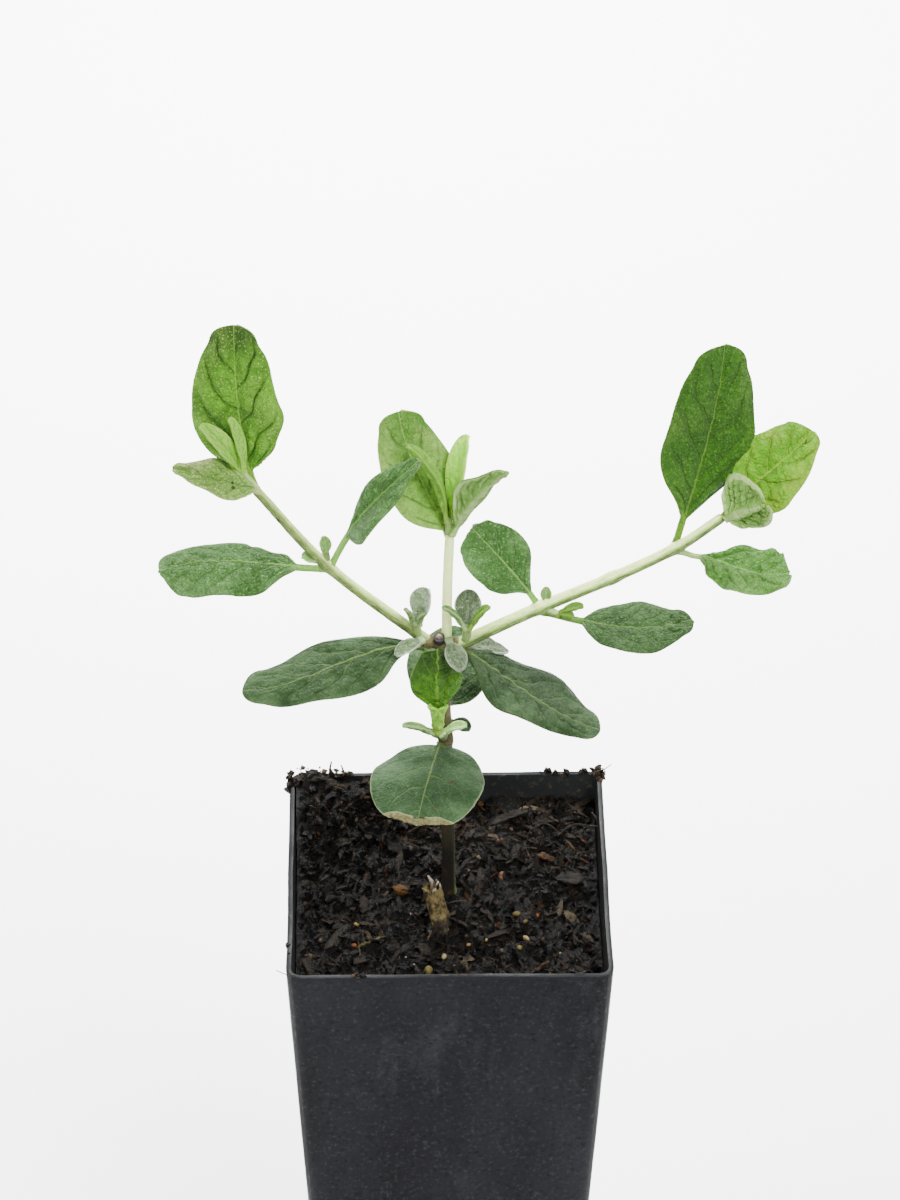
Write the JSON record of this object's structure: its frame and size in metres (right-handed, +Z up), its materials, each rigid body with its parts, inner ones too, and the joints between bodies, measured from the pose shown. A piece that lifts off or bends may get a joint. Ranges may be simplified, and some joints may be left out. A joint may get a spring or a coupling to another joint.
{
  "type": "potted tree germander",
  "caption": "Young shrub with felted forking stems and broad grey-green leaves, rooted in bark mix in a tall square nursery pot.",
  "frame": {"origin": "middle of the underside of the pot, between its drain holes", "axes": "+Z up through the plant, +X to the right and -Y to the front, across two walls of the pot"},
  "size_m": [0.0971, 0.05, 0.2156],
  "materials": {
    "pot": "satin moulded plastic, faintly smudged",
    "potting_mix": "damp, crumbly and fibrous",
    "bark": "matte, torn",
    "straw": "matte",
    "old_wood": "matte, flaking",
    "woody_stem": "matte, thinly felted",
    "young_stem": "pale felt",
    "old_leaf": "fine grey down over green",
    "young_leaf": "fine down over fresh green, grey felt beneath",
    "woolly_leaf": "grey wool"
  },
  "bodies": {
    "root": {"pot": "pot", "main_stem": "woody_stem", "left_branch": "young_stem", "centre_branch": "young_stem", "right_branch": "young_stem", "potting_mix": "potting_mix", "bark_chip_left": "bark", "bark_chip_right": "bark", "bark_strip": "bark", "grey_flake": "bark", "straw": "straw", "old_stem_stub": "old_wood", "lower_front_leaf": "old_leaf", "lower_back_leaf": "old_leaf", "top_left_leaf": "old_leaf", "top_right_leaf": "old_leaf", "top_back_leaf": "old_leaf", "top_front_leaf": "woolly_leaf", "left_woolly_leaf": "woolly_leaf", "left_outer_leaf": "old_leaf", "left_inner_leaf": "old_leaf", "left_back_leaf": "young_leaf", "left_front_leaf": "young_leaf", "centre_back_leaf": "young_leaf", "centre_front_leaf": "young_leaf", "right_inner_leaf": "old_leaf", "right_outer_leaf": "old_leaf", "right_back_leaf": "young_leaf", "right_front_leaf": "young_leaf", "right_tip_inner_leaf": "young_leaf", "right_tip_outer_leaf": "young_leaf", "lower_shoot_leaf": "young_leaf", "lower_front_shoot": "woolly_leaf", "lower_back_shoot": "old_leaf", "top_left_shoot": "woolly_leaf", "top_right_shoot": "woolly_leaf", "left_outer_shoot": "woolly_leaf", "left_inner_shoot": "woolly_leaf", "right_inner_shoot": "woolly_leaf", "right_outer_shoot": "woolly_leaf", "left_tip_shoot": "young_leaf", "centre_tip_shoot": "young_leaf"}
  },
  "joints": []
}
